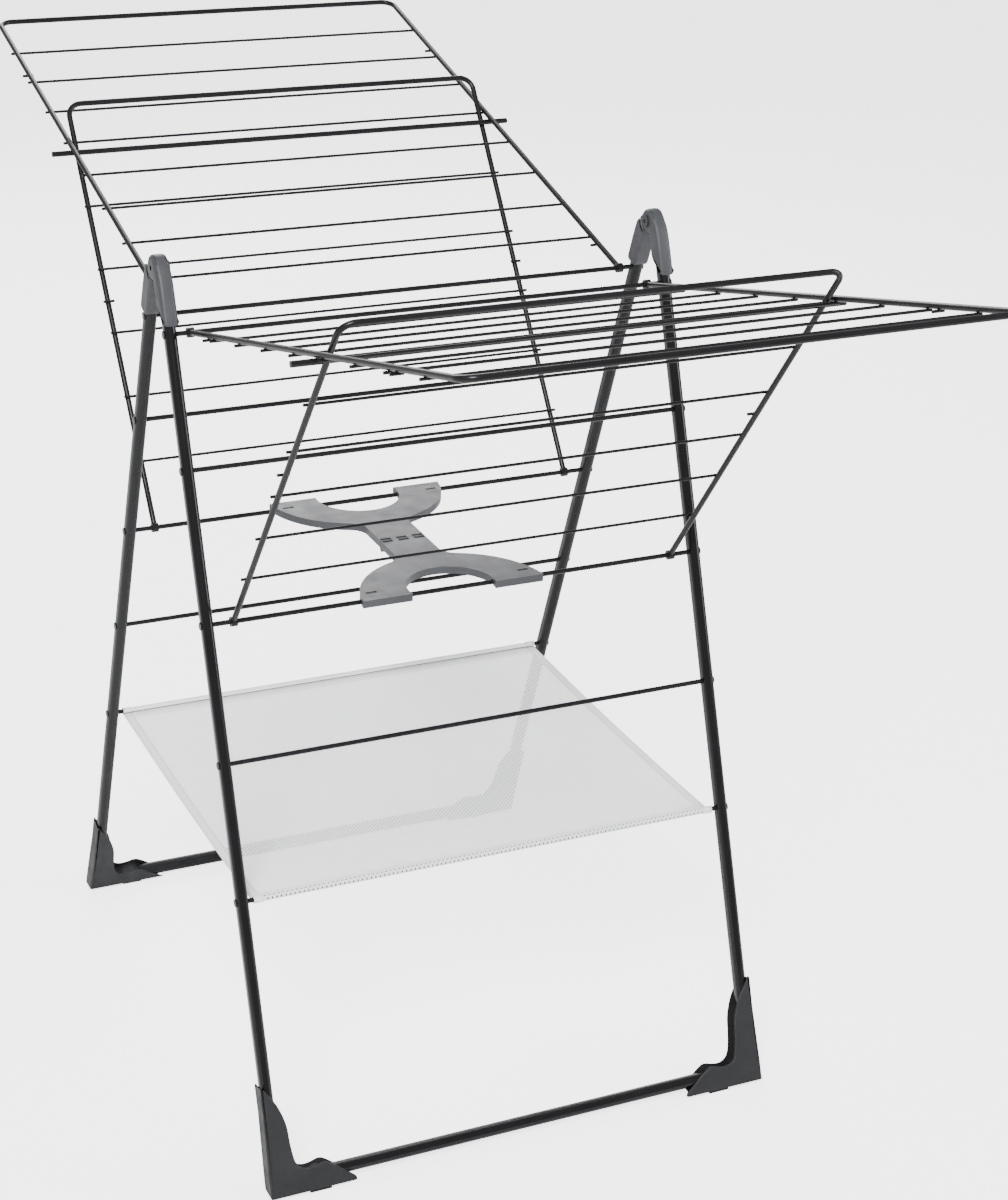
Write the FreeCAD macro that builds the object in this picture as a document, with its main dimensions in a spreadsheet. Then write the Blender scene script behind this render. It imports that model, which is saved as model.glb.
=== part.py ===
import FreeCAD, Part
import math
import os
import re
import Sketcher

# Free-standing folding clothes airer. Millimetres and degrees.
# X runs along the rods, -Y is the front, Z is up, and the floor is Z = 0.
# Each leg frame is drawn upright about the middle plane of its legs, with the hinge
# line leg_offset behind that plane, and is then leaned out by leg_lean.

doc = FreeCAD.newDocument("airer")
sheet = doc.addObject("Spreadsheet::Sheet", "Size")
Vector = FreeCAD.Vector
Rotation = FreeCAD.Rotation
Placement = FreeCAD.Placement

SIZES = [
    # leg frames
    ("leg_spacing", 540), ("leg_length", 928), ("leg_lean", 20), ("leg_offset", 10.5),
    ("leg_width", 12), ("leg_depth", 16), ("leg_wall", 1.2), ("leg_top_drop", 16),
    ("leg_end_lift", 23), ("base_tube_lift", 13),
    # cross rods: how far down the leg each one sits
    ("wing_rod_drop", 66), ("upper_rod_drop", 199), ("panel_rod_drop", 351),
    ("stretcher_rod_drop", 490), ("shelf_rod_drop", 628),
    ("rod_radius", 2.5), ("rod_fit", 0.1), ("head_radius", 4), ("head_height", 1.2),
    # bars and wires of the wings and the side panels
    ("rail_radius", 3), ("wire_radius", 1.5), ("weld_bite", 0.03), ("bend_radius", 15),
    ("eye_radius", 5), ("eye_width", 6.6), ("turn_gap", 0.08), ("rest_gap", 0.4),
    ("wing_rise", 14), ("wing_length", 675), ("wing_pitch", 75), ("wing_half_width", 249.5),
    ("wing_wire_reach", 254), ("nib_length", 12), ("wing_nib_near", 58), ("wing_nib_far", 542),
    ("panel_length", 487), ("panel_pitch", 73), ("rail_clearance", 1),
    ("panel_wire_reach", 247.5), ("panel_nib_place", 255),
    ("prop_radius", 3), ("prop_reach", 272), ("prop_wire_number", 5),
    # hinge caps on the leg tops
    ("cap_width", 16), ("cap_half_depth", 10), ("cap_length", 61), ("cap_radius", 13),
    ("cap_slot", 11), ("cap_gap", 0.5), ("cap_fit", 0.2), ("tongue_width", 10),
    ("shoulder_height", 10), ("pin_radius", 2.5), ("pin_gap", 0.06), ("pin_head_radius", 6.5),
    ("pin_head_height", 2), ("pin_hole_radius", 2.2), ("pin_hole_depth", 1.4),
    ("recess_depth", 1.2), ("cap_sweep", 20),
    # feet
    ("foot_depth", 20.4), ("foot_lift", 3), ("foot_height", 115.5), ("foot_slant", 20.5),
    ("foot_side", 7), ("foot_heel", 11), ("foot_neck_reach", 15.5), ("foot_neck_height", 66),
    ("foot_notch_reach", 20), ("foot_notch_height", 33), ("foot_bump_near", 36),
    ("foot_bump_far", 53), ("foot_bump_height", 27), ("foot_reach", 82), ("foot_toe_height", 7),
    ("foot_fit", 0.1), ("foot_below", 16), ("foot_corner", 4), ("foot_seat", 10),
    ("pad_near", 31), ("pad_length", 23), ("pad_depth", 17), ("pad_height", 9),
    # folding spreader
    ("spreader_shift", 10), ("spreader_drop", 4), ("spreader_radius", 100),
    ("spreader_centre", 150), ("spreader_reach", 140), ("spreader_hole_radius", 46.5),
    ("spreader_hole_place", 132), ("spreader_neck", 50), ("spreader_wall", 2.5),
    ("spreader_top", 5), ("spreader_skirt", 3), ("spreader_fillet", 20), ("spreader_gap", 0.3),
    ("clip_near", 60), ("clip_far", 85), ("clip_width", 5), ("clip_mouth", 4.2),
    ("skirt_gap", 0.6), ("knuckle_radius", 3.5), ("knuckle_width", 9.4), ("knuckle_gap", 0.4),
    ("spindle_radius", 1.5), ("web_depth", 6), ("slot_length", 12), ("slot_width", 4),
    ("slot_place", 84), ("slot_reach", 122), ("vent_pitch", 18), ("vent_depth", 3),
    # mesh shelf
    ("shelf_half_width", 258), ("shelf_sleeve_wall", 0.92), ("shelf_thickness", 1),
    ("shelf_fold_gap", 0.3),
]


def enter(name, value):
    row = str(enter.row)
    enter.row += 1
    sheet.set("A" + row, name)
    sheet.set("B" + row, repr(value))
    sheet.setAlias("B" + row, name)


enter.row = 1
for name, value in SIZES:
    enter(name, value)
doc.recompute()


def words(text):
    return re.sub(r"[a-z]+(?:_[a-z]+)+", lambda found: "Size." + found.group(0), text)


def worth(text):
    return float(getattr(sheet.evalExpression(words(text)), "Value", sheet.evalExpression(words(text))))


def along_leg(drop):
    lean = math.radians(worth("leg_lean"))
    offset = worth("leg_offset")
    out = offset * math.cos(lean) + drop * math.sin(lean)
    up = offset * math.sin(lean) - drop * math.cos(lean)
    return out, up


# Sizes that follow from the others: the hinge height, the slope at which the side panel
# meets a wing wire, where on the panel the prop rod meets the wing's side bars, and the
# panel's width, which passes inside the wing's side bars with rail_clearance to spare.
lean = math.radians(worth("leg_lean"))
hinge_height = worth("leg_length") * math.cos(lean) - worth("leg_offset") * math.sin(lean)
wing_out, wing_up = along_leg(worth("wing_rod_drop"))
panel_out, panel_up = along_leg(worth("panel_rod_drop"))
shelf_out, shelf_up = along_leg(worth("shelf_rod_drop"))
rise = math.radians(worth("wing_rise"))
under = worth("rail_radius + wire_radius")
reach = worth("prop_wire_number * wing_pitch")
meet_out = wing_out + reach * math.cos(rise) + under * math.sin(rise) - panel_out
meet_up = wing_up + reach * math.sin(rise) - under * math.cos(rise) - panel_up
span = math.hypot(meet_out, meet_up)
slope = math.atan2(meet_up, meet_out) + math.asin((under + worth("rest_gap")) / span)
stack = worth("rail_radius + prop_radius")
step_out = panel_out - wing_out
step_up = panel_up - wing_up
depth = -step_out * math.sin(rise) + step_up * math.cos(rise)
prop = (-(stack + worth("rest_gap")) - depth - stack * math.cos(slope - rise)) / math.sin(slope - rise)
enter("prop_place", round(prop, 4))
enter("panel_half_width", worth("wing_half_width - 2 * rail_radius - rail_clearance"))
enter("shelf_reach", round(shelf_out, 4))
enter("spreader_reach_rod", round(panel_out, 4))
doc.recompute()

made = [0]
NODES = []


def fresh(kind):
    made[0] += 1
    return doc.addObject(kind, "shape%03d" % made[0])


def bind(item, **sizes):
    for name, text in sizes.items():
        item.setExpression(name, words(text))


def move(item, x, y, z):
    for axis, text in zip("xyz", (x, y, z)):
        if text != "0":
            item.setExpression("Placement.Base." + axis, words(text))


def block(wide, deep, high, x="0", y="0", z="0"):
    item = fresh("Part::Box")
    bind(item, Length=wide, Width=deep, Height=high)
    places = ["(%s) - (%s) / 2" % pair for pair in zip((x, y, z), (wide, deep, high))]
    move(item, *places)
    return item


TURNS = {
    "x": Rotation(Vector(0, 1, 0), 90),
    "y": Rotation(Vector(1, 0, 0), -90),
    "z": Rotation(),
}


def bar(radius, length, axis, x="0", y="0", z="0"):
    item = fresh("Part::Cylinder")
    bind(item, Radius=radius, Height=length)
    item.Placement = Placement(Vector(), TURNS[axis])
    places = [x, y, z]
    places["xyz".index(axis)] = "(%s) - (%s) / 2" % (places["xyz".index(axis)], length)
    move(item, *places)
    return item


def join(*items):
    item = fresh("Part::MultiFuse")
    item.Shapes = list(items)
    item.Refine = True
    return item


def cut(base, *tools):
    item = fresh("Part::Cut")
    item.Base = base
    item.Tool = tools[0] if len(tools) == 1 else join(*tools)
    item.Refine = True
    return item


def group(*items):
    item = fresh("Part::Compound")
    item.Links = list(items)
    return item


def outline(role, points, length):
    # A flat shape whose corners are tied to the sheet, padded to both sides of its plane.
    body = fresh("PartDesign::Body")
    plane = [item for item in body.Origin.OriginFeatures if item.Role == role][0]
    sketch = body.newObject("Sketcher::SketchObject", body.Name + "_sketch")
    sketch.AttachmentSupport = [(plane, "")]
    sketch.MapMode = "FlatFace"
    count = len(points)
    spots = [Vector(worth(across), worth(up), 0) for across, up in points]
    for index in range(count):
        sketch.addGeometry(Part.LineSegment(spots[index], spots[(index + 1) % count]), False)
    for index in range(count):
        sketch.addConstraint(Sketcher.Constraint("Coincident", index, 2, (index + 1) % count, 1))
    for index, pair in enumerate(points):
        for kind, text, spot in zip(("DistanceX", "DistanceY"), pair, spots[index]):
            number = sketch.addConstraint(Sketcher.Constraint(kind, -1, 1, index, 1, spot))
            sketch.setExpression("Constraints[%d]" % number, words(text))
    pad = body.newObject("PartDesign::Pad", body.Name + "_pad")
    pad.Profile = sketch
    pad.Midplane = True
    bind(pad, Length=length)
    sketch.Visibility = False
    doc.recompute()
    return body, pad


def round_edges(item, pick, radius):
    # Rounds the edges of a finished shape whose middle point the pick function accepts.
    doc.recompute()
    rounded = fresh("Part::Fillet")
    rounded.Base = item
    size = worth(radius)
    rounded.Edges = [(number + 1, size, size) for number, edge in enumerate(item.Shape.Edges)
                     if pick(edge)]
    return rounded


def flat_oval(width, deep, length, axis, x="0", y="0", z="0"):
    # Flat-oval section: depth along Y, round front and back edges.
    shift = "((%s) - (%s)) / 2" % (deep, width)
    flat = "(%s) - (%s)" % (deep, width)
    if axis == "z":
        middle = block(width, flat, length, x, y, z)
    else:
        middle = block(length, flat, width, x, y, z)
    half = "(%s) / 2" % width
    near = bar(half, length, axis, x, "(%s) - %s" % (y, shift), z)
    far = bar(half, length, axis, x, "(%s) + %s" % (y, shift), z)
    return join(middle, near, far)


def finish(item, label, place):
    item.Label = label
    item.Placement = place
    NODES.append(item)


def spun(turn, place):
    return Placement(Vector(), Rotation(Vector(0, 0, 1), turn)) * place


def leaned(out, up, angle):
    return Placement(Vector(0, -out, hinge_height + up), Rotation(Vector(1, 0, 0), -angle))


RODS = [
    ("wing_rod", "wing_rod_drop"), ("upper_rod", "upper_rod_drop"),
    ("panel_rod", "panel_rod_drop"), ("stretcher_rod", "stretcher_rod_drop"),
    ("shelf_rod", "shelf_rod_drop"),
]


def make_leg(x):
    length = "leg_length - leg_end_lift - leg_top_drop"
    middle = "-(leg_length - leg_end_lift + leg_top_drop) / 2"
    outer = flat_oval("leg_width", "leg_depth", length, "z", x, "0", middle)
    inner = flat_oval("leg_width - 2 * leg_wall", "leg_depth - 2 * leg_wall",
                      length + " + 2 * leg_wall", "z", x, "0", middle)
    holes = [bar("rod_radius + rod_fit", "2 * leg_width", "x", x, "0", "-" + drop)
             for name, drop in RODS]
    return cut(outer, inner, *holes)


def make_rod(drop):
    side = "(leg_spacing + leg_width) / 2"
    shaft = bar("rod_radius", "leg_spacing + leg_width + 2 * head_height", "x", "0", "0", "-" + drop)
    heads = [bar("head_radius", "head_height", "x", "%s(%s + head_height / 2)" % (sign, side),
                 "0", "-" + drop) for sign in ("-", "")]
    return join(shaft, *heads)


def make_base_tube():
    length = "leg_spacing - 2 * foot_seat"
    place = "-(leg_length - base_tube_lift)"
    outer = flat_oval("leg_width", "leg_depth", length, "x", "0", "0", place)
    inner = flat_oval("leg_width - 2 * leg_wall", "leg_depth - 2 * leg_wall",
                      length + " + 2 * leg_wall", "x", "0", "0", place)
    return cut(outer, inner)


def make_foot(sign):
    # The foot takes the leg from above and the base tube from the side. Reaches run
    # inward from the leg's middle, heights run up the leg from the floor end.
    corners = [
        ("-foot_side", "foot_height"), ("leg_width / 2 + 1.5", "foot_height - foot_slant"),
        ("foot_neck_reach", "foot_neck_height"), ("foot_notch_reach", "foot_notch_height"),
        ("foot_bump_near", "foot_bump_height"), ("foot_bump_far", "foot_bump_height"),
        ("foot_reach", "foot_toe_height"), ("foot_reach", "-foot_below"),
        ("-foot_heel", "-foot_below"),
    ]
    points = []
    for reach, height in corners:
        points.append(("%s(leg_spacing / 2 - (%s))" % (sign, reach), "(%s) - leg_length" % height))
    body, pad = outline("XZ_Plane", points, "foot_depth")
    limit = worth("foot_depth") * 0.99
    edges = ["Edge%d" % (number + 1) for number, edge in enumerate(pad.Shape.Edges)
             if abs(edge.Vertexes[0].Point.y - edge.Vertexes[1].Point.y) > limit]
    fillet = body.newObject("PartDesign::Fillet", body.Name + "_fillet")
    fillet.Base = (pad, edges)
    bind(fillet, Radius="foot_corner")
    body.Tip = fillet
    wide = "leg_width + 2 * foot_fit"
    deep = "leg_depth + 2 * foot_fit"
    shank = flat_oval(wide, deep, "foot_height", "z", sign + "leg_spacing / 2", "0",
                      "-(leg_length - leg_end_lift) + foot_height / 2")
    seat = flat_oval(wide, deep, "foot_reach + foot_seat", "x",
                     "%s(leg_spacing / 2 - foot_seat - (foot_reach + foot_seat) / 2)" % sign,
                     "0", "-(leg_length - base_tube_lift)")
    floor = floor_wedge("foot_lift")
    return cut(body, shank, seat, floor)


def floor_wedge(lift):
    # Everything below a level plane that lies the given lift above the floor.
    line = "-leg_length + (%s) / cos(leg_lean) %s 60 * tan(leg_lean)"
    points = [("-60", line % (lift, "-")), ("60", line % (lift, "+")), ("60", "-leg_length - 120"),
              ("-60", "-leg_length - 120")]
    return outline("YZ_Plane", points, "2 * leg_spacing")[0]


def make_pads(sign):
    x = "%s(leg_spacing / 2 - pad_near - pad_length / 2)" % sign
    plane = block("pad_length", "pad_depth", "2 * pad_height", x, "0", "-leg_length")
    above = outline("YZ_Plane", [
        ("-60", "-leg_length + foot_lift / cos(leg_lean) - 60 * tan(leg_lean)"),
        ("60", "-leg_length + foot_lift / cos(leg_lean) + 60 * tan(leg_lean)"),
        ("60", "-leg_length + 120"), ("-60", "-leg_length + 120")], "2 * leg_spacing")[0]
    return cut(plane, above, floor_wedge("0 * foot_lift"))


def make_cap(sign, tongue):
    x = sign + "leg_spacing / 2"
    bottom = "-cap_length"
    back = bottom if tongue else "-cap_length + cap_sweep"
    corners = [
        ("-cap_half_depth", bottom), ("-cap_half_depth", "-shoulder_height"),
        ("leg_offset - cap_radius * cos(25)", "cap_radius * sin(25)"),
        ("leg_offset", "0"), ("cap_half_depth", "-cap_radius"), ("cap_half_depth", back),
    ]
    if tongue:
        leaf = outline("YZ_Plane", corners, "cap_width")[0]
        room = bar("cap_radius + cap_gap", "2 * cap_width", "x", "0", "leg_offset", "0")
        shoulder = cut(leaf, room)
        web = outline("YZ_Plane", corners, "tongue_width")[0]
        disc = bar("cap_radius - 0.1", "tongue_width", "x", "0", "leg_offset", "0")
        solid = join(shoulder, web, disc)
    else:
        leaf = outline("YZ_Plane", corners, "cap_width")[0]
        disc = bar("cap_radius", "cap_width", "x", "0", "leg_offset", "0")
        room = bar("cap_radius + cap_gap", "cap_slot", "x", "0", "leg_offset", "0")
        outside = "%s(cap_width - recess_depth) / 2" % sign
        inside = "-(%s(cap_width - recess_depth) / 2)" % sign
        slot = block("recess_depth", "3", "8", outside, "leg_offset + 5", "-6")
        notch = block("recess_depth", "4", "1.8", inside, "leg_offset - 4", "9")
        solid = cut(join(leaf, disc), room, slot, notch)
    gap = "pin_radius + pin_gap" if tongue else "pin_radius + pin_gap / 3"
    hole = bar(gap, "2 * cap_width", "x", "0", "leg_offset", "0")
    socket = flat_oval("leg_width + 2 * cap_fit", "leg_depth + 2 * cap_fit", "2 * cap_length",
                       "z", "0", "0", "-leg_top_drop - cap_length")
    hollow = cut(solid, hole, socket)
    item = group(hollow)
    move(hollow, x, "0", "0")
    return item


def make_pin(sign):
    inward = "-1" if sign == "" else "1"
    shaft = bar("pin_radius", "cap_width", "x")
    face = "(%s) * (cap_width + pin_head_height) / 2" % inward
    head = bar("pin_head_radius", "pin_head_height", "x", face)
    hole = bar("pin_hole_radius", "pin_hole_depth", "x",
               "(%s) * (cap_width / 2 + pin_head_height - pin_hole_depth / 2)" % inward)
    item = cut(join(shaft, head), hole)
    move(item, sign + "leg_spacing / 2", "0", "0")
    return group(item)


def make_rail(half, length):
    # A bar bent into a U, with an eye at each end that turns on its cross rod.
    body = fresh("PartDesign::Body")
    planes = dict((item.Role, item) for item in body.Origin.OriginFeatures)
    path = body.newObject("Sketcher::SketchObject", body.Name + "_path")
    path.AttachmentSupport = [(planes["XY_Plane"], "")]
    path.MapMode = "FlatFace"
    straight = "%s - bend_radius" % length
    inside = "%s - bend_radius" % half
    corners = [
        ("-" + half, "0"), ("-" + half, "-(%s)" % straight), ("-(%s)" % inside, "-" + length),
        (inside, "-" + length), (half, "-(%s)" % straight), (half, "0"),
    ]
    spots = [Vector(worth(across), worth(up), 0) for across, up in corners]
    around = worth("bend_radius")
    left = Vector(spots[2].x, spots[1].y, 0)
    right = Vector(spots[3].x, spots[4].y, 0)
    path.addGeometry(Part.LineSegment(spots[0], spots[1]), False)
    path.addGeometry(Part.ArcOfCircle(Part.Circle(left, Vector(0, 0, 1), around),
                                      math.pi, 1.5 * math.pi), False)
    path.addGeometry(Part.LineSegment(spots[2], spots[3]), False)
    path.addGeometry(Part.ArcOfCircle(Part.Circle(right, Vector(0, 0, 1), around),
                                      1.5 * math.pi, 2 * math.pi), False)
    path.addGeometry(Part.LineSegment(spots[4], spots[5]), False)
    ends = [(0, 1), (0, 2), (2, 1), (2, 2), (4, 1), (4, 2)]
    for (line, end), pair, spot in zip(ends, corners, spots):
        for kind, text, start in zip(("DistanceX", "DistanceY"), pair, spot):
            number = path.addConstraint(Sketcher.Constraint(kind, -1, 1, line, end, start))
            path.setExpression("Constraints[%d]" % number, words(text))
    for line in range(4):
        path.addConstraint(Sketcher.Constraint("Coincident", line, 2, line + 1, 1))
    for arc, text, spot in ((1, "-(%s)" % inside, left), (3, inside, right)):
        number = path.addConstraint(Sketcher.Constraint("DistanceX", -1, 1, arc, 3, spot.x))
        path.setExpression("Constraints[%d]" % number, words(text))
    section = body.newObject("Sketcher::SketchObject", body.Name + "_section")
    section.AttachmentSupport = [(planes["XZ_Plane"], "")]
    section.MapMode = "FlatFace"
    section.addGeometry(Part.Circle(spots[0], Vector(0, 0, 1), worth("rail_radius")), False)
    number = section.addConstraint(Sketcher.Constraint("Radius", 0, worth("rail_radius")))
    section.setExpression("Constraints[%d]" % number, words("rail_radius"))
    number = section.addConstraint(Sketcher.Constraint("DistanceX", -1, 1, 0, 3, spots[0].x))
    section.setExpression("Constraints[%d]" % number, words("-" + half))
    section.addConstraint(Sketcher.Constraint("PointOnObject", 0, 3, -1))
    pipe = body.newObject("PartDesign::AdditivePipe", body.Name + "_pipe")
    pipe.Profile = section
    pipe.Spine = (path, ["Edge%d" % (number + 1) for number in range(5)])
    path.Visibility = False
    section.Visibility = False
    doc.recompute()
    eyes = [bar("eye_radius", "eye_width", "x", "%s(%s)" % (sign, half)) for sign in ("-", "")]
    bore = bar("rod_radius + turn_gap", "4 * (%s)" % half, "x")
    return cut(join(body, *eyes), bore)


def make_wires(reach, pitch, count, side):
    z = "%s(rail_radius + wire_radius - weld_bite)" % side
    return group(*[bar("wire_radius", "2 * " + reach, "x", "0", "-%d * %s" % (row, pitch), z)
                   for row in range(1, count + 1)])


def make_nibs(half, places, side):
    z = "%s(rail_radius + wire_radius - weld_bite)" % side
    return group(*[bar("wire_radius", "nib_length", "x", "%s(%s)" % (sign, half), "-" + place, z)
                   for sign in ("-", "") for place in places])


def make_spreader(first):
    # Origin on the hinge line. The rod sits spreader_drop above it, the plate above that.
    top = "spreader_drop + spreader_top"
    low = "spreader_drop - spreader_skirt"

    def shape(shrink, high):
        middle = "(%s + %s) / 2" % (low, high)
        tall = "%s - (%s)" % (high, low)
        disc = bar("spreader_radius - " + shrink, tall, "z", "0", "-spreader_centre", middle)
        keep = block("4 * spreader_radius", "spreader_reach - " + shrink, "4 * " + "spreader_top + 40",
                     "0", "-(spreader_reach - %s) / 2" % shrink)
        common = fresh("Part::MultiCommon")
        common.Shapes = [disc, keep]
        near = "spreader_gap + " + shrink
        far = "spreader_centre - spreader_radius + 20"
        neck = block("spreader_neck - 2 * " + shrink, "%s - (%s)" % (far, near), tall, "0",
                     "-(%s + %s) / 2" % (far, near), middle)
        solid = join(common, neck)
        half = worth("spreader_neck / 2 - " + shrink)
        back = -worth("spreader_centre - spreader_radius")

        def pick(edge):
            first_end, last_end = edge.Vertexes[0].Point, edge.Vertexes[-1].Point
            upright = abs(first_end.z - last_end.z) > 1 and abs(first_end.y - last_end.y) < 0.01
            at_neck = abs(abs(first_end.x) - half) < 0.01
            return upright and at_neck and back - 25 < first_end.y < back + 5

        curved = round_edges(solid, pick, "spreader_fillet - " + shrink if shrink == "0 * spreader_wall"
                             else "spreader_fillet")
        hole = bar("spreader_hole_radius + " + shrink, "4 * spreader_radius", "z", "0",
                   "-spreader_hole_place", "0")
        return cut(curved, hole)

    outer = shape("0 * spreader_wall", top)
    inner = shape("spreader_wall", top + " - spreader_wall")
    inner_room = join(inner, block("spreader_neck - 2 * spreader_wall", "web_depth", "1", "0",
                                   "-spreader_gap - web_depth - 4", low))
    shell = cut(outer, inner_room)
    web = block("spreader_neck", "web_depth", "%s - (%s)" % (top, low), "0",
                "-spreader_gap - web_depth / 2", "(%s + %s) / 2" % (top, low))
    ribs = []
    for sign in ("-", ""):
        for place in ("clip_near", "clip_far"):
            ribs.append(block("clip_width", "12", "%s - (%s)" % (top, low), sign + place,
                              "-spreader_reach_rod", "(%s + %s) / 2" % (top, low)))
    step = "2 * (knuckle_width + knuckle_gap)"
    own = ["-" + step, "0", step] if first else ["-" + step + " / 2", step + " / 2"]
    other = ["-" + step + " / 2", step + " / 2"] if first else ["-" + step, "0", step]
    barrels = [bar("knuckle_radius", "knuckle_width", "x", place) for place in own]
    links = [block("knuckle_width", "knuckle_radius - spreader_gap", "knuckle_radius", place,
                   "-spreader_gap - (knuckle_radius - spreader_gap) / 2", "knuckle_radius / 2")
             for place in own]
    rooms = [bar("knuckle_radius + knuckle_gap", "knuckle_width + 2 * knuckle_gap", "x", place)
             for place in other]
    slots = [block("slot_length", "slot_width", "4 * spreader_top + 40", sign + "slot_place",
                   "-slot_reach") for sign in ("-", "")]
    vents = [block("slot_length", "web_depth - 1.5", "vent_depth", place, "-web_depth / 2 - spreader_gap",
                   top + " - vent_depth / 2") for place in ("-vent_pitch", "0", "vent_pitch")]
    rod = bar("rod_radius + turn_gap", "4 * spreader_radius", "x", "0", "-spreader_reach_rod",
              "spreader_drop")
    mouth = block("4 * spreader_radius", "clip_mouth", "spreader_skirt + 3", "0",
                  "-spreader_reach_rod", "spreader_drop - (spreader_skirt + 3) / 2")
    bore = bar("spindle_radius + pin_gap" if not first else "spindle_radius + pin_gap / 3",
               "4 * spreader_neck", "x")
    body = cut(join(shell, web, *ribs), rod, mouth, *(slots + vents + rooms))
    return cut(join(body, *(barrels + links)), bore)


def make_shelf():
    edge = "shelf_reach - rod_radius - turn_gap - shelf_sleeve_wall / 2"
    sleeve = bar("rod_radius + turn_gap + shelf_sleeve_wall", "2 * shelf_half_width", "x", "0",
                 "-shelf_reach")
    hole = bar("rod_radius + turn_gap", "4 * shelf_half_width", "x", "0", "-shelf_reach")
    mesh = block("2 * shelf_half_width", "%s - shelf_fold_gap" % edge, "shelf_thickness", "0",
                 "-(%s + shelf_fold_gap) / 2" % edge, "-shelf_fold_gap - shelf_thickness / 2")
    return cut(join(sleeve, mesh), hole)


lean_angle = worth("leg_lean")
wing_angle = worth("wing_rise")
panel_angle = math.degrees(slope)
for side, turn in (("front", 0), ("rear", 180)):
    frame = spun(turn, leaned(0, 0, lean_angle) * Placement(Vector(0, -worth("leg_offset"), 0), Rotation()))
    hand = {"left": "-", "right": ""} if side == "front" else {"left": "", "right": "-"}
    for hand_name, sign in hand.items():
        finish(make_leg(sign + "leg_spacing / 2"), "%s_leg_%s" % (side, hand_name), frame)
        finish(make_foot(sign), "%s_foot_%s" % (side, hand_name), frame)
        finish(make_pads(sign), "%s_pad_%s" % (side, hand_name), frame)
        finish(make_cap(sign, side == "rear"), "%s_cap_%s" % (side, hand_name), frame)
    finish(make_base_tube(), side + "_base_tube", frame)
    for name, drop in RODS:
        finish(make_rod(drop), "%s_%s" % (side, name), frame)
    wing = spun(turn, leaned(wing_out, wing_up, wing_angle))
    finish(make_rail("wing_half_width", "wing_length"), side + "_wing_rail", wing)
    finish(make_wires("wing_wire_reach", "wing_pitch", 8, "-"), side + "_wing_wires", wing)
    finish(make_nibs("wing_half_width", ["wing_nib_near", "wing_nib_far"], "-"),
           side + "_wing_nibs", wing)
    panel = spun(turn, leaned(panel_out, panel_up, panel_angle))
    finish(make_rail("panel_half_width", "panel_length"), side + "_panel_rail", panel)
    finish(make_wires("panel_wire_reach", "panel_pitch", 5, ""), side + "_panel_wires", panel)
    finish(make_nibs("panel_half_width", ["panel_nib_place"], ""), side + "_panel_nibs", panel)
    prop_rod = bar("prop_radius", "2 * prop_reach", "x", "0", "-prop_place",
                   "rail_radius + prop_radius - weld_bite")
    finish(group(prop_rod), side + "_prop_rod", panel)
    level = Placement(Vector(-worth("spreader_shift"), 0, hinge_height + panel_up
                             - worth("spreader_drop")), Rotation(Vector(0, 0, 1), turn))
    finish(make_spreader(side == "front"), "spreader_%s_half" % side, level)
    shelf = spun(turn, Placement(Vector(0, 0, hinge_height + shelf_up), Rotation()))
    finish(make_shelf(), "shelf_%s_half" % side, shelf)
for hand_name, sign in (("left", "-"), ("right", "")):
    finish(make_pin(sign), "hinge_pin_" + hand_name, Placement(Vector(0, 0, hinge_height), Rotation()))
spindle = bar("spindle_radius", "5 * knuckle_width + 4 * knuckle_gap", "x")
finish(group(spindle), "spreader_pin",
       Placement(Vector(-worth("spreader_shift"), 0, hinge_height + panel_up - worth("spreader_drop")),
                 Rotation()))

doc.recompute()
for item in doc.Objects:
    if "Invalid" in item.State or "Error" in item.State:
        raise RuntimeError("not rebuilt: " + item.Label)
os.makedirs("parts", exist_ok=True)
for item in NODES:
    if item.Shape.isNull() or not item.Shape.isValid() or not item.Shape.Solids:
        raise RuntimeError("bad shape: " + item.Label)
    item.Shape.exportStep("parts/" + item.Label + ".step")
    print(item.Label, len(item.Shape.Solids), round(item.Shape.Volume, 1))
print("slope", round(panel_angle, 3), "prop", round(prop, 2), "hinge height", round(hinge_height, 2))
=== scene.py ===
import math

import bmesh
import bpy
from mathutils import Matrix, Vector


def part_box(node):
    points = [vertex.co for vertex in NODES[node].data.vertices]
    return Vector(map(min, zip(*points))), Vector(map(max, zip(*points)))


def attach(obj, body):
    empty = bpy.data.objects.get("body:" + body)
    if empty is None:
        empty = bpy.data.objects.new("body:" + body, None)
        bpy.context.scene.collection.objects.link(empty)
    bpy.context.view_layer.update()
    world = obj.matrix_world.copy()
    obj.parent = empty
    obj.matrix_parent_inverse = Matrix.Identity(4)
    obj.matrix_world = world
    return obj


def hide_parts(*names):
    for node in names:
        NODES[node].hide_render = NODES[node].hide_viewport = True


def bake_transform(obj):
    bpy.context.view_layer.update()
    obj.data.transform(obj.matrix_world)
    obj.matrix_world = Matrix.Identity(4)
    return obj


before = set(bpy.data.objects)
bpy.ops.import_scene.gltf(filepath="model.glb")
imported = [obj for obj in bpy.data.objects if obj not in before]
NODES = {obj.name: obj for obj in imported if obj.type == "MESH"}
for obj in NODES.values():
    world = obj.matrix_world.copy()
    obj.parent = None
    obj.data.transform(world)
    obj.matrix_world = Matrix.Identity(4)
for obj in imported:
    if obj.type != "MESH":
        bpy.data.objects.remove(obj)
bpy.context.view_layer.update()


# ---------------------------------------------------------------- materials
NOISE_LOW, NOISE_HIGH = 0.3, 0.7
FINE_TO_BROAD = 3.1
GRAIN_DEPTH = 0.0004


def new_material(name):
    material = bpy.data.materials.new(name)
    material.use_nodes = True
    tree = material.node_tree
    shader = tree.nodes["Principled BSDF"]
    return material, tree, shader


def add(tree, kind, **values):
    node = tree.nodes.new(kind)
    for key, value in values.items():
        setattr(node, key, value)
    return node


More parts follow.
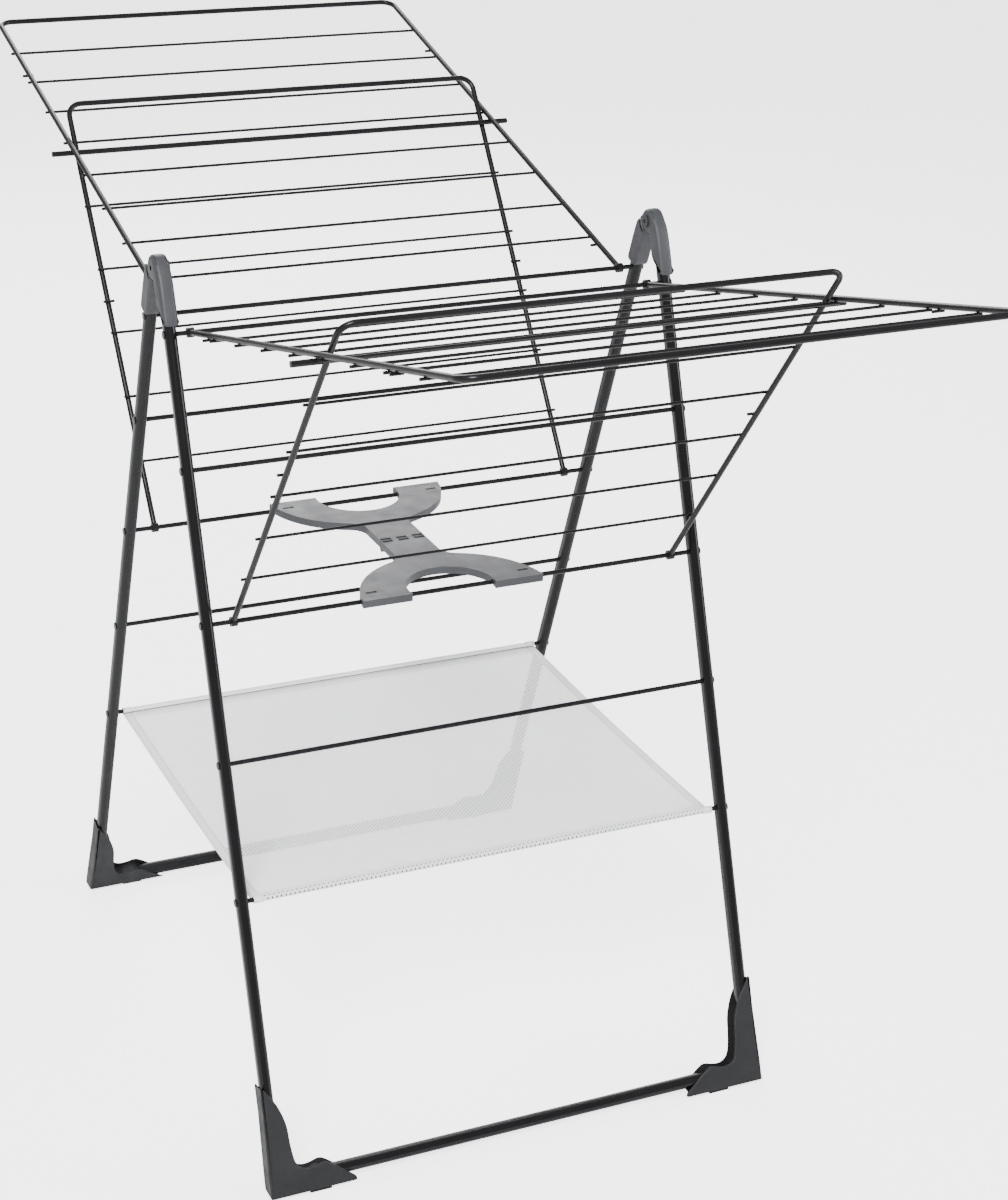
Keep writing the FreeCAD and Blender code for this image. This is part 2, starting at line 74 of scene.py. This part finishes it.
def noise(tree, scale, detail=3.0, rough=0.5):
    place = add(tree, "ShaderNodeTexCoord")
    texture = add(tree, "ShaderNodeTexNoise")
    texture.inputs["Scale"].default_value = scale
    texture.inputs["Detail"].default_value = detail
    texture.inputs["Roughness"].default_value = rough
    tree.links.new(place.outputs["Object"], texture.inputs["Vector"])
    return texture.outputs["Fac"]


def spread(tree, value, low, high):
    # Noise stays mostly between its own low and high, so that stretch is what gets spread.
    ramp = add(tree, "ShaderNodeMapRange")
    ramp.inputs["From Min"].default_value = NOISE_LOW
    ramp.inputs["From Max"].default_value = NOISE_HIGH
    ramp.inputs["To Min"].default_value = low
    ramp.inputs["To Max"].default_value = high
    tree.links.new(value, ramp.inputs["Value"])
    return ramp.outputs["Result"]


def blend_colours(tree, value, first, second):
    mix = add(tree, "ShaderNodeMix", data_type="RGBA")
    mix.inputs["A"].default_value = (*first, 1)
    mix.inputs["B"].default_value = (*second, 1)
    tree.links.new(value, mix.inputs["Factor"])
    return mix.outputs["Result"]


def surface(name, dark, light, rough, bump_scale, bump_depth, patch=9.0, coat=0.0, coat_rough=0.1,
            specular=0.5):
    # Paint or moulded plastic: broad colour patches, finer changes of gloss, and a fine grain.
    material, tree, shader = new_material(name)
    broad = noise(tree, patch, 4.0, 0.55)
    colour = blend_colours(tree, spread(tree, broad, 0.0, 1.0), dark, light)
    tree.links.new(colour, shader.inputs["Base Color"])
    tree.links.new(spread(tree, noise(tree, patch * FINE_TO_BROAD, 3.0), *rough), shader.inputs["Roughness"])
    bump = add(tree, "ShaderNodeBump")
    bump.inputs["Strength"].default_value = bump_depth
    bump.inputs["Distance"].default_value = GRAIN_DEPTH
    tree.links.new(noise(tree, bump_scale, 2.0), bump.inputs["Height"])
    tree.links.new(bump.outputs["Normal"], shader.inputs["Normal"])
    shader.inputs["Coat Weight"].default_value = coat
    shader.inputs["Coat Roughness"].default_value = coat_rough
    shader.inputs["Specular IOR Level"].default_value = specular
    return material


GLOSS = surface("gloss_black_paint", (0.0045, 0.0045, 0.0052), (0.0075, 0.0075, 0.0085), (0.14, 0.24),
                420, 0.10, coat=0.16, coat_rough=0.08, specular=0.18)
# The front legs' black paint again, painted a little lighter for the rear legs and base tube: a lit copy of
# one paint, with painted light standing in for how the light falls on them.
BLACK_PAINT_PAINTED_LIGHT = surface("black_paint_painted_light", (0.005, 0.0052, 0.006), (0.008, 0.0083, 0.0096), (0.30, 0.42),
                   420, 0.12, coat=0.10, coat_rough=0.14, specular=0.20)
COATED = surface("black_wire_coating", (0.005, 0.005, 0.0058), (0.009, 0.009, 0.0102), (0.26, 0.38),
                 600, 0.12, coat=0.10, coat_rough=0.12, specular=0.18)
CAP = surface("cap_plastic", (0.040, 0.042, 0.047), (0.052, 0.054, 0.060), (0.40, 0.52),
              900, 0.30, patch=26, specular=0.35)
FOOT = surface("foot_plastic", (0.009, 0.0095, 0.011), (0.015, 0.0155, 0.0175), (0.46, 0.60),
               900, 0.35, patch=22, specular=0.35)
PAD = surface("pad_rubber", (0.010, 0.010, 0.011), (0.016, 0.016, 0.018), (0.75, 0.9), 700, 0.5,
              specular=0.3)
PIN = surface("pin_metal", (0.020, 0.020, 0.023), (0.030, 0.030, 0.034), (0.34, 0.46), 800, 0.2,
              specular=0.35)
SPREADER = surface("spreader_plastic", (0.046, 0.048, 0.054), (0.060, 0.062, 0.069), (0.36, 0.48),
                   900, 0.25, patch=18, specular=0.35)

LOOKS = [
    ("front_leg", GLOSS), ("front_base_tube", GLOSS), ("rear_leg", BLACK_PAINT_PAINTED_LIGHT),
    ("rear_base_tube", BLACK_PAINT_PAINTED_LIGHT), ("_foot_", FOOT), ("_pad_", PAD), ("_cap_", CAP),
    ("hinge_pin", PIN), ("spreader_pin", PIN), ("spreader_", SPREADER), ("_rod", COATED),
    ("_rail", COATED), ("_wires", COATED), ("_nibs", COATED),
]
for node_name, item in NODES.items():
    for key, look in LOOKS:
        if key in node_name:
            for slot in item.material_slots:
                slot.link = "OBJECT"
                slot.material = look
            break


# ---------------------------------------------------------------- moulded caps and feet
# Outlines are in millimetres, in the leg frame's own axes.
MM = 0.001


def centre(node):
    low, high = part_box(node)
    return (low + high) / 2


HINGE = centre("hinge_pin_left")
HINGE.x = 0.0
DOWN = (centre("front_shelf_rod") - centre("front_wing_rod")).normalized()


def leg_axes(side):
    # Across, back and up, as seen from the leg frame, with the hinge height on its middle plane.
    sign = 1 if side == "front" else -1
    across = Vector((sign, 0, 0))
    up = Vector((0, -sign * DOWN.y, -DOWN.z))
    back = up.cross(across)
    rod = centre("front_wing_rod") - HINGE
    offset = -rod.dot(Vector((0, -DOWN.z, DOWN.y)))
    turn = Matrix((across, back, up)).transposed().to_4x4()
    return Matrix.Translation(HINGE - back * offset) @ turn, offset / MM


def arc(centre_point, radius, start, end, steps=14):
    across, up = centre_point
    angles = [math.radians(start + (end - start) * step / steps) for step in range(steps + 1)]
    return [(across + radius * math.cos(angle), up + radius * math.sin(angle)) for angle in angles]


def softened(corners, steps=6):
    # Each corner (across, up, radius) becomes a short curve that leaves it by that radius.
    line = []
    for index, (across, up, radius) in enumerate(corners):
        here = Vector((across, up))
        before = (Vector(corners[index - 1][:2]) - here)
        after = (Vector(corners[(index + 1) % len(corners)][:2]) - here)
        start = here + before.normalized() * min(radius, before.length * 0.48)
        end = here + after.normalized() * min(radius, after.length * 0.48)
        for step in range(steps + 1):
            part = step / steps
            point = start * (1 - part) ** 2 + here * 2 * part * (1 - part) + end * part ** 2
            line.append((point.x, point.y))
    return line


def drawn_in(line, depth):
    # The closed outline moved inward by a depth.
    count = len(line)
    area = sum(line[i][0] * line[(i + 1) % count][1] - line[(i + 1) % count][0] * line[i][1]
               for i in range(count))
    hand = 1 if area > 0 else -1
    moved = []
    for index in range(count):
        before, after = Vector(line[index - 1]), Vector(line[(index + 1) % count])
        way = (after - before).normalized()
        moved.append((line[index][0] - way.y * hand * depth, line[index][1] + way.x * hand * depth))
    return moved


def crown(low, high, outer, radius, steps=6):
    # Stations across a slab: how far its outline draws in where the far face is rounded over.
    places = sorted({low, high} | {outer - radius + radius * math.sin(math.pi / 2 * step / steps)
                                   for step in range(steps + 1)}
                    | {-outer + radius - radius * math.sin(math.pi / 2 * step / steps)
                       for step in range(steps + 1)})
    stations = []
    for place in places:
        if low - 1e-6 <= place <= high + 1e-6:
            over = max(0.0, abs(place) - (outer - radius))
            stations.append((place, radius - math.sqrt(max(0.0, radius ** 2 - over ** 2))))
    return stations


def slab(build, line, stations, turn, put):
    rings = []
    for place, depth in stations:
        rings.append([build.verts.new(turn @ (Vector(put(place, a, b)) * MM))
                      for a, b in drawn_in(line, depth)])
    count = len(line)
    for first, second in zip(rings, rings[1:]):
        for index in range(count):
            after = (index + 1) % count
            build.faces.new((first[index], first[after], second[after], second[index]))
    build.faces.new(rings[0][::-1])
    build.faces.new(rings[-1])


def close_up(name, build, look, body, slot_name, *nodes):
    bmesh.ops.recalc_face_normals(build, faces=build.faces[:])
    mesh = bpy.data.meshes.new(name)
    build.to_mesh(mesh)
    build.free()
    for polygon in mesh.polygons:
        polygon.use_smooth = True
    mesh.set_sharp_from_angle(angle=math.radians(40))
    item = bpy.data.objects.new(name, mesh)
    bpy.context.scene.collection.objects.link(item)
    mesh.materials.append(look)
    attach(item, body)
    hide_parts(*nodes)
    return item


CAP_HALF_WIDTH, CAP_RADIUS, CAP_ROOM, CAP_CROWN, SHOULDER_CROWN = 8.0, 13.0, 13.7, 4.5, 2.4
DISC_START, DISC_END = 155, -92
CAP_FACE, CAP_LENGTH, CAP_SWEEP = 10.0, 61.0, 20.0
CAP_BACK_DROP = CAP_RADIUS + 14
CAP_FRONT = [(-CAP_FACE, -45), (-CAP_FACE, -34), (-CAP_FACE + 0.6, -18), (-CAP_FACE + 2.6, -7)]
SHOULDER_TOP = [(-8.8, -12), (-7.2, -8.5), (-5.4, -7)]
SLOT_HALF, TONGUE_HALF, TONGUE_RADIUS = 5.6, 5.0, 12.9


def make_cap(side, hand, x):
    # A front cap is a fork of two cheeks over a body; a rear cap is a tongue that fits between.
    turn, offset = leg_axes(side)
    pivot = (offset, 0.0)
    sweep = CAP_SWEEP if side == "front" else 0.0
    # Only the two bottom corners are kept, each as a curve of six points.
    foot_end = softened([(CAP_FACE, -CAP_BACK_DROP, 1), (CAP_FACE, -CAP_LENGTH + sweep, 9),
                         (-CAP_FACE, -CAP_LENGTH, 5), (-CAP_FACE, -40, 1)], 5)[6:18]
    across = -x if side == "rear" else x

    def put(place, a, b):
        return across / MM + place, a, b

    build = bmesh.new()
    below_room = [(CAP_FACE, -CAP_RADIUS - 2), (CAP_FACE, -CAP_BACK_DROP)] + foot_end
    if side == "front":
        lower = CAP_FRONT + arc(pivot, CAP_ROOM, 163, 268, 16) + below_room
        slab(build, lower, crown(-SLOT_HALF, SLOT_HALF, CAP_HALF_WIDTH, CAP_CROWN), turn, put)
        cheek = (CAP_FRONT + arc(pivot, CAP_RADIUS, DISC_START, DISC_END, 30)
                 + [(CAP_FACE, -CAP_RADIUS - 6), (CAP_FACE, -CAP_BACK_DROP)] + foot_end)
        for low, high in ((-CAP_HALF_WIDTH, -SLOT_HALF), (SLOT_HALF, CAP_HALF_WIDTH)):
            slab(build, cheek, crown(low, high, CAP_HALF_WIDTH, CAP_CROWN), turn, put)
    else:
        lower = (CAP_FRONT[:3] + SHOULDER_TOP
                 + arc(pivot, CAP_ROOM, 205, 268, 12) + below_room)
        slab(build, lower, crown(-CAP_HALF_WIDTH, CAP_HALF_WIDTH, CAP_HALF_WIDTH, SHOULDER_CROWN),
             turn, put)
        tongue = ([(-CAP_FACE + 2.6, -14), (-CAP_FACE + 2.6, -7)]
                  + arc(pivot, TONGUE_RADIUS, DISC_START, DISC_END, 30) + [(CAP_FACE - 1, -CAP_RADIUS - 6)])
        slab(build, tongue, crown(-TONGUE_HALF, TONGUE_HALF, CAP_HALF_WIDTH, CAP_CROWN), turn, put)
    name = "%s_cap_%s" % (side, hand)
    return close_up(name + "_moulded", build, CAP, side + "_frame", "cap", name)


FOOT_HALF_DEPTH, FOOT_CROWN, CHANNEL_HALF, CORE_BITE = 10.2, 1.6, 8.1, 0.1
CHANNEL_STEP, CHANNEL_DROP = 5.0, 4.0
FOOT_LIFT = 3.0
LEG_LENGTH = 928.0
FOOT_LINE = [
    # reach inward from the leg's middle, height up the leg from its end, softness
    (-7.0, 115.0, 1.5), (7.5, 93.0, 8), (15.0, 72.0, 12), (15.8, 50.0, 14), (19.0, 29.0, 10),
    (28.0, 22.5, 8), (38.0, 22.8, 6), (49.0, 26.4, 7), (57.0, 22.0, 6), (81.6, 3.0, 3),
]
CORE_TOP, CORE_TOE = (-7.4, 113.0, 1.5), (76.0, -9.0, 0.5)
HEEL_LINE = [(80.5, -9.0, 0.5), (-8.0, -9.0, 0.5), (-10.4, -5.0, 0.5), (-10.2, 20.0, 8)]


def make_foot(side, hand, x):
    # Two side walls with a core set back between them, which leaves a channel along the inner edge.
    turn = leg_axes(side)[0]
    up_axis = turn.to_3x3() @ Vector((0, 0, 1))
    back_axis = turn.to_3x3() @ Vector((0, 1, 0))
    inward = (-1 if x > 0 else 1) * (-1 if side == "rear" else 1)
    across = (-x if side == "rear" else x) / MM

    def floor_height(depth):
        # Where the level plane under the foot meets the leg's own axes at this depth.
        return ((FOOT_LIFT * MM - turn.translation.z) - depth * MM * back_axis.z) / up_axis.z / MM

    def put(place, reach, height):
        level = floor_height(place)
        up = max(height - LEG_LENGTH, level)
        return across + inward * reach, place, up

    build = bmesh.new()
    walls = softened(FOOT_LINE + HEEL_LINE)
    for low_side, high_side in ((-FOOT_HALF_DEPTH, -CHANNEL_HALF), (CHANNEL_HALF, FOOT_HALF_DEPTH)):
        slab(build, walls, crown(low_side, high_side, FOOT_HALF_DEPTH, FOOT_CROWN), turn, put)
    inner_edge = [(a - CHANNEL_STEP, b - CHANNEL_DROP, r) for a, b, r in FOOT_LINE[1:]]
    core = softened([CORE_TOP] + inner_edge + [CORE_TOE] + HEEL_LINE[1:])
    core_half = CHANNEL_HALF + CORE_BITE
    slab(build, core, [(-core_half, 0), (core_half, 0)], turn, put)
    name = "%s_foot_%s" % (side, hand)
    return close_up(name + "_moulded", build, FOOT, side + "_frame", "foot", name)


LEG_PLACE = abs(centre("front_leg_left").x)
for side in ("front", "rear"):
    for hand, x in (("left", -LEG_PLACE), ("right", LEG_PLACE)):
        make_cap(side, hand, x)
        make_foot(side, hand, x)


# ---------------------------------------------------------------- mesh shelf
low_rod, high_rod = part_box("front_shelf_rod")
rod_y = -(low_rod[1] + high_rod[1]) / 2
rod_z = (low_rod[2] + high_rod[2]) / 2
half_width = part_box("shelf_front_half")[1][0]
ROD = 0.0025
HEM_WIDTH, HEM_CLEAR, HEM_COVER = 0.016, 0.001, 0.94
WEAVE_PITCH = 0.0048
WEAVE_DEPTH = 0.0003
SAG = 0.0035
WRAP_START, WRAP_TURN, WRAP_STEPS = -60, 250, 14
SPAN_STEPS = 48


def mesh_fabric():
    # Open woven mesh: white threads crossing on the diagonal, about 3.4 mm apart. Between the
    # hem's fold and the rod it is doubled, so almost closed.
    material, tree, shader = new_material("white_mesh")
    place = add(tree, "ShaderNodeTexCoord")
    split = add(tree, "ShaderNodeSeparateXYZ")
    tree.links.new(place.outputs["Object"], split.inputs["Vector"])

    def math_node(kind, first, second):
        node = add(tree, "ShaderNodeMath", operation=kind)
        for index, value in enumerate((first, second)):
            if isinstance(value, (int, float)):
                node.inputs[index].default_value = value
            elif value is not None:
                tree.links.new(value, node.inputs[index])
        return node.outputs[0]

    across, along = split.outputs["X"], split.outputs["Y"]
    rate = 2 * math.pi / WEAVE_PITCH
    first = math_node("SINE", math_node("MULTIPLY", math_node("ADD", across, along), rate), None)
    second = math_node("SINE", math_node("MULTIPLY", math_node("SUBTRACT", across, along), rate), None)
    thread = math_node("MAXIMUM", first, second)
    cover = add(tree, "ShaderNodeMapRange")
    cover.inputs["From Min"].default_value = -0.45
    cover.inputs["From Max"].default_value = -0.20
    tree.links.new(thread, cover.inputs["Value"])
    reach = math_node("ABSOLUTE", along, None)
    folded = math_node("GREATER_THAN", reach, rod_y - HEM_WIDTH)
    short_of_rod = math_node("LESS_THAN", reach, rod_y - HEM_CLEAR)
    hem = math_node("MULTIPLY", folded, short_of_rod)
    closed = math_node("MAXIMUM", cover.outputs["Result"], math_node("MULTIPLY", hem, HEM_COVER))
    tree.links.new(closed, shader.inputs["Alpha"])
    colour = blend_colours(tree, spread(tree, noise(tree, 14, 4), 0, 1), (0.90, 0.91, 0.93),
                           (0.95, 0.955, 0.965))
    tree.links.new(colour, shader.inputs["Base Color"])
    shader.inputs["Roughness"].default_value = 0.62
    shader.inputs["Sheen Weight"].default_value = 0.25
    bump = add(tree, "ShaderNodeBump")
    bump.inputs["Strength"].default_value = 0.5
    bump.inputs["Distance"].default_value = WEAVE_DEPTH
    tree.links.new(thread, bump.inputs["Height"])
    tree.links.new(bump.outputs["Normal"], shader.inputs["Normal"])
    return material


def binding_cloth():
    # The folded tape along each side: closed, finely ribbed cloth.
    material, tree, shader = new_material("white_binding")
    place = add(tree, "ShaderNodeTexCoord")
    wave = add(tree, "ShaderNodeTexWave", wave_type="BANDS", bands_direction="Y")
    wave.inputs["Scale"].default_value = 320
    wave.inputs["Distortion"].default_value = 1.5
    tree.links.new(place.outputs["Object"], wave.inputs["Vector"])
    colour = blend_colours(tree, wave.outputs["Fac"], (0.93, 0.935, 0.945), (0.97, 0.975, 0.98))
    tree.links.new(colour, shader.inputs["Base Color"])
    shader.inputs["Roughness"].default_value = 0.7
    shader.inputs["Sheen Weight"].default_value = 0.3
    bump = add(tree, "ShaderNodeBump")
    bump.inputs["Strength"].default_value = 0.4
    bump.inputs["Distance"].default_value = WEAVE_DEPTH
    tree.links.new(wave.outputs["Fac"], bump.inputs["Height"])
    tree.links.new(bump.outputs["Normal"], shader.inputs["Normal"])
    return material


MESH = mesh_fabric()
BINDING = binding_cloth()


def side_line(radius):
    # The sheet's line seen from the side: round the front rod, across, and round the rear rod.
    line = []
    for step in range(WRAP_STEPS + 1):
        angle = math.radians(WRAP_START + WRAP_TURN * (1 - step / WRAP_STEPS))
        line.append((-rod_y + radius * math.cos(angle + math.pi), rod_z + radius * math.sin(angle)))
    rear = [(-y, z) for y, z in reversed(line)]
    start, end = line[-1], rear[0]
    for step in range(1, SPAN_STEPS):
        part = step / SPAN_STEPS
        sag = -SAG * math.sin(math.pi * part)
        line.append((start[0] + (end[0] - start[0]) * part,
                     start[1] + (end[1] - start[1]) * part + sag))
    return line + rear


def sheet_mesh(name, x_low, x_high, radius, columns, thick, look):
    line = side_line(radius)
    build = bmesh.new()
    rows = []
    for y, z in line:
        rows.append([build.verts.new((x_low + (x_high - x_low) * column / columns, y, z))
                     for column in range(columns + 1)])
    for first, second in zip(rows, rows[1:]):
        for index in range(columns):
            build.faces.new((first[index], first[index + 1], second[index + 1], second[index]))
    bmesh.ops.recalc_face_normals(build, faces=build.faces[:])
    mesh = bpy.data.meshes.new(name)
    build.to_mesh(mesh)
    build.free()
    item = bpy.data.objects.new(name, mesh)
    bpy.context.scene.collection.objects.link(item)
    for polygon in mesh.polygons:
        polygon.use_smooth = True
    if thick:
        solid = item.modifiers.new("thickness", "SOLIDIFY")
        solid.thickness = thick
        solid.offset = 0
    mesh.materials.append(look)
    return item


SHEET_RADIUS = ROD + 0.0006
BINDING_RADIUS = ROD + 0.0009
EDGE_INSET, BINDING_WIDTH, BINDING_THICK = 0.002, 0.010, 0.0007

shelf = sheet_mesh("mesh_shelf", -half_width + EDGE_INSET, half_width - EDGE_INSET, SHEET_RADIUS, 24, 0,
                   MESH)
left_edge = sheet_mesh("shelf_binding_left", -half_width, -half_width + BINDING_WIDTH, BINDING_RADIUS,
                       2, BINDING_THICK, BINDING)
right_edge = sheet_mesh("shelf_binding_right", half_width - BINDING_WIDTH, half_width, BINDING_RADIUS,
                        2, BINDING_THICK, BINDING)
for item in (shelf, left_edge, right_edge):
    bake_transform(item)
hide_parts("shelf_front_half", "shelf_rear_half")


# ---------------------------------------------------------------- floor, light, camera
def floor_look():
    # A pale floor that reads as bright as the white sweep it stands on.
    material, tree, shader = new_material("floor_pale")
    shader.inputs["Base Color"].default_value = (0.93, 0.93, 0.93, 1)
    shader.inputs["Roughness"].default_value = 0.9
    shader.inputs["Specular IOR Level"].default_value = 0.1
    path = add(tree, "ShaderNodeLightPath")
    glow = add(tree, "ShaderNodeMath", operation="MULTIPLY")
    glow.inputs[1].default_value = FLOOR_GLOW
    tree.links.new(path.outputs["Is Camera Ray"], glow.inputs[0])
    shader.inputs["Emission Color"].default_value = (1, 1, 1, 1)
    tree.links.new(glow.outputs[0], shader.inputs["Emission Strength"])
    return material


FLOOR_GLOW = 2.6
WORLD_LIGHT = 0.6
floor_mesh = bpy.data.meshes.new("floor")
FLOOR_HALF = 30.0
floor_mesh.from_pydata([(x * FLOOR_HALF, y * FLOOR_HALF, 0) for x, y in
                        ((-1, -1), (1, -1), (1, 1), (-1, 1))], [], [(0, 1, 2, 3)])
floor = bpy.data.objects.new("floor", floor_mesh)
floor.location = (0, 0, -0.0005)
bpy.context.scene.collection.objects.link(floor)
floor_mesh.materials.append(floor_look())

world = bpy.data.worlds.new("studio")
bpy.context.scene.world = world
world.use_nodes = True
background = world.node_tree.nodes["Background"]
background.inputs["Color"].default_value = (1, 1, 1, 1)
seen = world.node_tree.nodes.new("ShaderNodeLightPath")
strength = world.node_tree.nodes.new("ShaderNodeMapRange")
strength.inputs["To Min"].default_value = WORLD_LIGHT
strength.inputs["To Max"].default_value = FLOOR_GLOW
world.node_tree.links.new(seen.outputs["Is Camera Ray"], strength.inputs["Value"])
world.node_tree.links.new(strength.outputs["Result"], background.inputs["Strength"])


def area_light(name, place, aim, size, power, tall=None):
    data = bpy.data.lights.new(name, "AREA")
    data.energy = power
    data.shape = "RECTANGLE"
    data.size = size
    data.size_y = tall or size
    item = bpy.data.objects.new(name, data)
    item.location = place
    direction = Vector(aim) - Vector(place)
    item.rotation_mode = "QUATERNION"
    item.rotation_quaternion = direction.to_track_quat("-Z", "Y")
    bpy.context.scene.collection.objects.link(item)
    return item


area_light("key", (-1.6, -2.4, 3.2), (0, 0, 0.5), 1.4, 230)
area_light("fill", (2.8, -1.6, 1.6), (0, 0, 0.5), 1.2, 60, 2.0)
area_light("back", (0.5, 3.0, 2.4), (0, 0, 0.6), 2.0, 90)

AZIMUTH, ELEVATION, ROLL = (math.radians(value) for value in (-25.1364, 23.8341, 1.854))
TARGET = Vector((0.08106, -0.06444, 0.48768))
DISTANCE = 2.6762
forward = Vector((-math.sin(AZIMUTH) * math.cos(ELEVATION), math.cos(AZIMUTH) * math.cos(ELEVATION),
                  -math.sin(ELEVATION)))
right = forward.cross(Vector((0, 0, 1))).normalized()
up = right.cross(forward)
right_rolled = right * math.cos(ROLL) + up * math.sin(ROLL)
up_rolled = up * math.cos(ROLL) - right * math.sin(ROLL)
camera_data = bpy.data.cameras.new("camera")
camera_data.sensor_width = 36
camera_data.lens = 2517.04 * 36 / 1200
camera = bpy.data.objects.new("camera", camera_data)
turn = Matrix((right_rolled, up_rolled, -forward)).transposed()
camera.matrix_world = Matrix.Translation(TARGET - forward * DISTANCE) @ turn.to_4x4()
bpy.context.scene.collection.objects.link(camera)
bpy.context.scene.camera = camera
